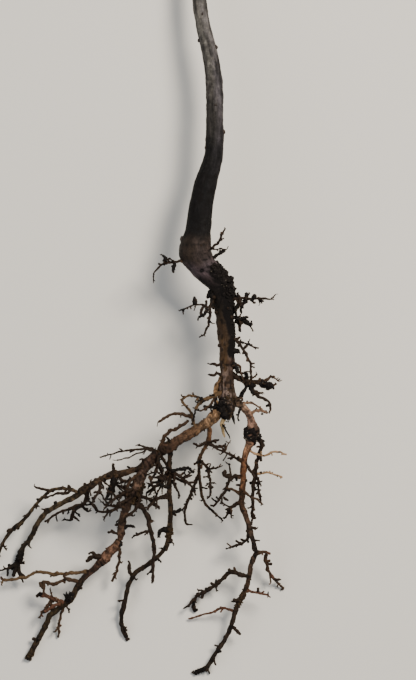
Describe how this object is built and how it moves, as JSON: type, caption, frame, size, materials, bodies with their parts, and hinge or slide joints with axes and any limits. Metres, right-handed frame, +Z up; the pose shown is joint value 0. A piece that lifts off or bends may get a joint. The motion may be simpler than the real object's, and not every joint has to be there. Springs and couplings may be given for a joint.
{
  "type": "bare-rooted sapling",
  "caption": "Bare-rooted tree sapling lying on its side: a bent stem with bare side twigs, a swollen crook at its collar, a short taproot, and spreading side roots with fine rootlets.",
  "frame": {"origin": "the centre of the bounding box's base, on the surface that the sapling lies on", "axes": "+Y from the roots to the stem's tip, +X to the right as seen from above with the stem pointing up, +Z up"},
  "size_m": [0.1491, 0.5724, 0.0446],
  "materials": {
    "stem_bark": "matt young bark",
    "soiled_bark": "bark darkened by damp soil",
    "root_bark": "matt root bark",
    "dark_rootlets": "matt, soil-stained",
    "pale_rootlets": "matt, washed clean",
    "bare_twigs": "matt young bark"
  },
  "bodies": {
    "root": {"stem": "stem_bark", "taproot": "soiled_bark", "left_root": "root_bark", "left_lower_root": "root_bark", "left_lower_root_end": "root_bark", "left_outer_root": "root_bark", "left_outer_root_upper": "root_bark", "left_outer_root_lower": "root_bark", "right_root": "root_bark", "right_root_end": "root_bark", "side_root": "root_bark", "middle_root": "root_bark", "inner_root": "root_bark", "crook_left": "dark_rootlets", "crook_right": "dark_rootlets", "taproot_right_upper": "dark_rootlets", "taproot_right_tuft": "dark_rootlets", "taproot_left": "dark_rootlets", "taproot_right_lower": "dark_rootlets", "crown_right_cluster": "dark_rootlets", "crown_right_twig": "dark_rootlets", "crown_left_tangle": "dark_rootlets", "crown_pale": "pale_rootlets", "crown_under": "dark_rootlets", "left_wiry": "dark_rootlets", "left_loop": "dark_rootlets", "knuckle_left": "dark_rootlets", "outer_tuft_near": "dark_rootlets", "outer_tuft_far": "dark_rootlets", "outer_under": "dark_rootlets", "lower_upper_tuft": "dark_rootlets", "lower_middle_tuft": "dark_rootlets", "lower_hanging": "dark_rootlets", "long_pale": "pale_rootlets", "curled": "dark_rootlets", "tip_red": "dark_rootlets", "tip_hanging": "dark_rootlets", "tangle_near": "dark_rootlets", "tangle_upper": "dark_rootlets", "tangle_lower": "dark_rootlets", "tangle_under": "dark_rootlets", "bridge": "dark_rootlets", "middle_lower": "dark_rootlets", "middle_right": "dark_rootlets", "crossing": "dark_rootlets", "right_left_fork": "dark_rootlets", "right_lower_fork": "dark_rootlets", "right_second": "dark_rootlets", "right_pale": "pale_rootlets", "right_low_twig": "dark_rootlets", "right_elbow": "dark_rootlets", "right_long": "dark_rootlets", "right_short": "dark_rootlets", "right_red": "dark_rootlets", "hanging_left": "dark_rootlets", "twig_low_left": "bare_twigs", "twig_right": "bare_twigs", "twig_high_left": "bare_twigs"}
  },
  "joints": []
}
